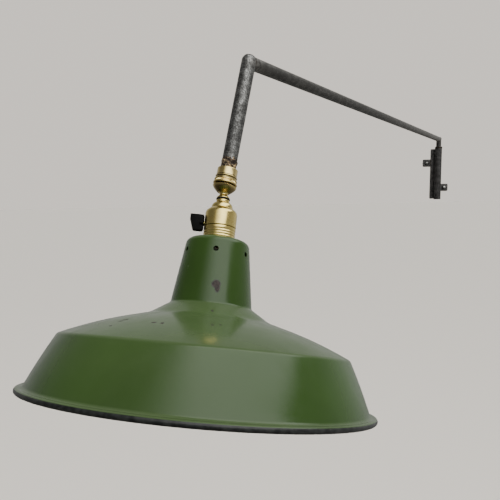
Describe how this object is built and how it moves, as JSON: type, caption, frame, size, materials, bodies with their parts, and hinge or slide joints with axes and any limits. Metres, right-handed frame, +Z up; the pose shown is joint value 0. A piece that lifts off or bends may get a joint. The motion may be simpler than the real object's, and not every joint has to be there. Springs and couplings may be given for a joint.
{
  "type": "wall-mounted swing arm lamp",
  "caption": "Wall-mounted swing-arm lamp: socket bracket, long steel arm, leaning drop tube, brass ball joint, switched lampholder and a green enamel reflector shade.",
  "frame": {"origin": "centre of the bracket's back face, on the wall", "axes": "+Z up, +Y into the wall, +X to the right for someone who faces the wall"},
  "size_m": [1.033, 1.5801, 0.4999],
  "materials": {
    "black_steel": "blackened bare steel tube, satin, worn grey along the top",
    "bracket_steel": "dark waxed mild steel, matt",
    "zinc": "bright zinc plate",
    "bronze": "dull bearing bronze",
    "braze": "brazed joint, mottled copper, brass and scale",
    "brass": "polished, lightly lacquered brass",
    "fibre": "vulcanised fibre",
    "rubber": "black rubber",
    "bakelite": "black moulded resin, gloss",
    "porcelain": "glazed porcelain",
    "green_enamel": "gloss vitreous enamel, mid green outside, white inside, black rim",
    "opal_glass": "opal glass bulb"
  },
  "bodies": {
    "bracket": {"bracket_backplate": "bracket_steel", "upper_fixing_lug": "bracket_steel", "lower_fixing_lug": "bracket_steel", "upper_wall_screw": "zinc", "lower_wall_screw": "zinc", "upper_screw_washer": "zinc", "lower_screw_washer": "zinc", "pivot_socket": "bracket_steel", "upper_pivot_bush": "bronze", "lower_pivot_bush": "bronze", "socket_bottom_plug": "bracket_steel", "pivot_washer": "bronze"},
    "arm": {"pivot_pin": "black_steel", "pivot_collar": "bracket_steel", "arm_tube": "black_steel", "drop_tube": "black_steel", "drop_tube_cap": "black_steel", "brazed_bush": "braze", "joint_nipple": "brass", "ball_joint_cup": "brass", "joint_lock_ring": "brass", "ball_joint_cap": "brass", "joint_disc_spring": "zinc"},
    "ball_carrier": {"ball_seat": "fibre"},
    "lamp_head": {"ball_stem": "brass", "stem_rubber_ring": "rubber", "stem_collar_nut": "brass", "holder_cap": "brass", "holder_body": "brass", "holder_skirt": "brass", "holder_insulator": "porcelain", "holder_screw_shell": "brass", "centre_contact": "brass", "switch_block": "bakelite", "live_terminal": "brass", "neutral_terminal": "brass", "live_terminal_screw": "zinc", "neutral_terminal_screw": "zinc", "shade_ring": "brass", "shade_shell": "green_enamel", "bulb_contact": "zinc", "bulb_screw_cap": "zinc", "bulb_globe": "opal_glass"},
    "switch_key": {"switch_knob": "bakelite", "switch_spindle": "brass", "switch_cam": "bakelite"}
  },
  "joints": [
    {"name": "arm_swing", "type": "hinge", "parent": "bracket", "child": "arm", "pos_m": [0.004, -0.018, 0.1303], "axis": [0, 0, 1], "range_deg": [-48.65, 111.35]},
    {"name": "ball_swivel", "type": "hinge", "parent": "arm", "child": "ball_carrier", "pos_m": [-0.75563, -1.26492, -0.03745], "axis": [0.1907, 0.313, 0.9304], "range_deg": [-170, 170]},
    {"name": "ball_tilt", "type": "hinge", "parent": "ball_carrier", "child": "lamp_head", "pos_m": [-0.75563, -1.26492, -0.03745], "axis": [-0.2664, -0.8957, 0.3559], "range_deg": [-16.5, 7]},
    {"name": "switch_turn", "type": "hinge", "parent": "lamp_head", "child": "switch_key", "pos_m": [-0.76126, -1.28181, -0.08418], "axis": [-0.9924, -0.0085, 0.1227], "continuous": true}
  ]
}
